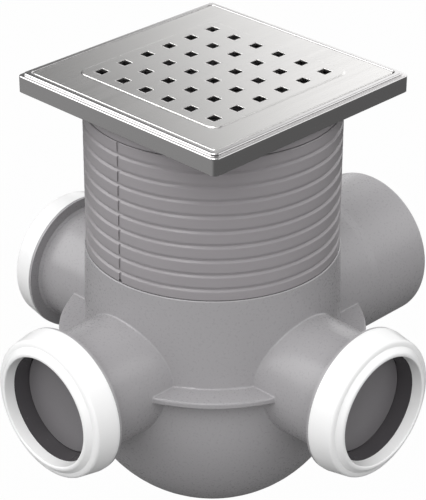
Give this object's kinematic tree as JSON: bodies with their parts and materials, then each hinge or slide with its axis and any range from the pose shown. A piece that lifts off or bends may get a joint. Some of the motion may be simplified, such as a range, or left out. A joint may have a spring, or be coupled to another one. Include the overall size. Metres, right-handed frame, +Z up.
{
  "type": "floor drain",
  "caption": "Floor drain with square perforated steel top, telescopic turning riser and round-bowled body with capped side inlets, a spigot outlet and a lift-out trap elbow.",
  "frame": {"origin": "centre of the grate's top face, at finished floor level", "axes": "+Z up; +X along the outlet, the way the water leaves; inlets along -X (back), +Y (left) and -Y (right)"},
  "size_m": [0.2235, 0.2164, 0.2184],
  "materials": {
    "grey_plastic": "grey moulded polypropylene, satin",
    "white_plastic": "white moulded plastic, satin gloss",
    "rubber_ring": "black rubber",
    "stainless_frame": "stainless steel, polished edges",
    "stainless_grate": "stainless steel, brushed"
  },
  "bodies": {
    "base": {"body": "grey_plastic", "trap_elbow": "grey_plastic", "trap_seal": "rubber_ring", "inlet_cap_back": "white_plastic", "inlet_seal_back": "rubber_ring", "inlet_plug_back": "grey_plastic", "inlet_cap_left": "white_plastic", "inlet_seal_left": "rubber_ring", "inlet_plug_left": "grey_plastic", "inlet_cap_right": "white_plastic", "inlet_seal_right": "rubber_ring", "inlet_plug_right": "grey_plastic"},
    "riser": {"riser": "grey_plastic", "riser_seal": "rubber_ring"},
    "top": {"collar": "grey_plastic", "collar_seal": "rubber_ring", "frame": "stainless_frame", "grate": "stainless_grate"}
  },
  "joints": [
    {"name": "riser_turn", "type": "hinge", "parent": "base", "child": "riser", "pos_m": [0, 0, -0.0851], "axis": [0, 0, 1], "continuous": true},
    {"name": "top_height", "type": "slide", "parent": "riser", "child": "top", "axis": [0, 0, 1], "range_m": [0, 0.02]}
  ]
}
